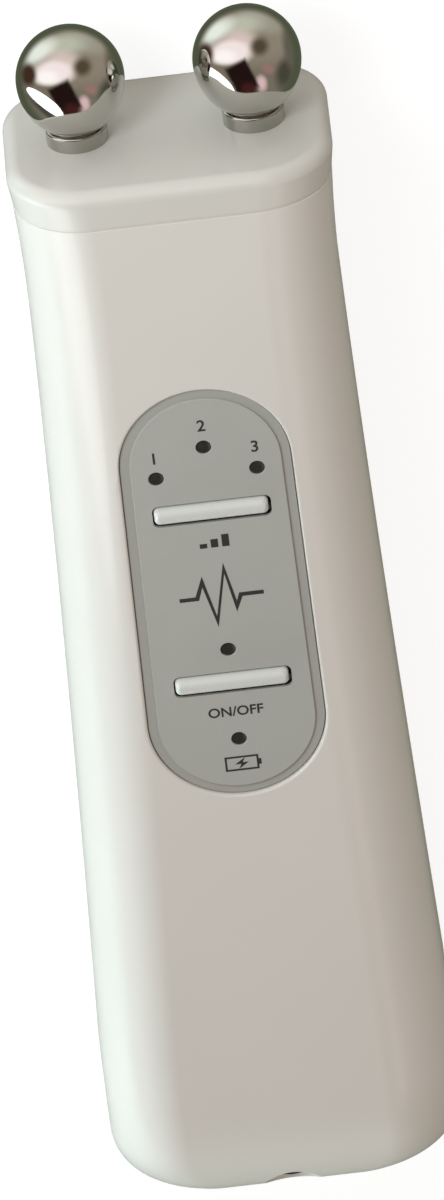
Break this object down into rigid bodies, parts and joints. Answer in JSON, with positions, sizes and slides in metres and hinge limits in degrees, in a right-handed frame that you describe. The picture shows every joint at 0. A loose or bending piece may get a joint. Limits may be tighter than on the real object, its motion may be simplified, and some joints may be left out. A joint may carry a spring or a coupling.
{
  "type": "facial toning device",
  "caption": "Hand-held facial toning device: a slim rounded body with two polished ball electrodes on its head, a recessed control panel with push buttons and a charging socket in its foot.",
  "frame": {"origin": "under the middle of the outline, on the surface that the flat back rests on", "axes": "+X to the right as the control face is read, +Y along the body towards the head and its two balls, +Z out of the control face"},
  "size_m": [0.0488, 0.185, 0.0323],
  "materials": {
    "shell_white": "gloss moulded",
    "cap_white": "gloss moulded",
    "electrode_chrome": "polished",
    "bright_steel": "plated",
    "brass_contact": "plain",
    "panel_grey": "satin",
    "overlay_grey": "satin film",
    "button_grey": "satin",
    "smoked_window": "smoked clear",
    "light_clear": "clear",
    "black_plastic": "moulded",
    "board_green": "solder mask",
    "chip_black": "epoxy",
    "ferrite": "sintered",
    "winding_tape": "polyester tape",
    "capacitor_sleeve": "shrink sleeve",
    "cell_sleeve": "shrink sleeve",
    "foam": "foam",
    "wire_red": "pvc",
    "wire_black": "pvc",
    "wire_white": "pvc",
    "wire_yellow": "pvc"
  },
  "bodies": {
    "housing": {"front_shell": "shell_white", "rear_shell": "shell_white", "head_cap": "cap_white", "electrode_carrier": "black_plastic", "electrode_ball_left": "electrode_chrome", "electrode_ball_right": "electrode_chrome", "electrode_collar_left": "electrode_chrome", "electrode_collar_right": "electrode_chrome", "electrode_stud_left": "bright_steel", "electrode_stud_right": "bright_steel", "electrode_nuts": "bright_steel", "electrode_terminals": "brass_contact", "electrode_lead_left": "wire_white", "electrode_lead_right": "wire_yellow", "panel_frame": "panel_grey", "panel_overlay": "overlay_grey", "level_switch": "black_plastic", "power_switch": "black_plastic", "circuit_board": "board_green", "microcontroller": "chip_black", "transformer_core": "ferrite", "transformer_winding": "winding_tape", "charge_controller": "chip_black", "smoothing_capacitor": "capacitor_sleeve", "filter_inductor": "ferrite", "small_parts": "chip_black", "cell_left": "cell_sleeve", "cell_right": "cell_sleeve", "cell_strap": "bright_steel", "cell_tabs": "bright_steel", "cell_lead_positive": "wire_red", "cell_lead_negative": "wire_black", "cell_pads": "foam", "socket_body": "black_plastic", "socket_pin": "brass_contact", "socket_tags": "bright_steel", "socket_leads": "wire_black", "shell_screws": "bright_steel", "board_screws": "bright_steel", "low_window": "smoked_window", "low_light": "light_clear", "middle_window": "smoked_window", "middle_light": "light_clear", "high_window": "smoked_window", "high_light": "light_clear", "power_window": "smoked_window", "power_light": "light_clear", "charge_window": "smoked_window", "charge_light": "light_clear"},
    "level_key": {"level_button": "button_grey", "level_plunger": "black_plastic"},
    "power_key": {"power_button": "button_grey", "power_plunger": "black_plastic"}
  },
  "joints": [
    {"name": "level_press", "type": "slide", "parent": "housing", "child": "level_key", "axis": [0, 0, -1], "range_m": [0, 0.0005], "stiffness_N_per_m": 2000, "springref_m": -0.0003},
    {"name": "power_press", "type": "slide", "parent": "housing", "child": "power_key", "axis": [0, 0, -1], "range_m": [0, 0.0005], "stiffness_N_per_m": 2000, "springref_m": -0.0003}
  ]
}
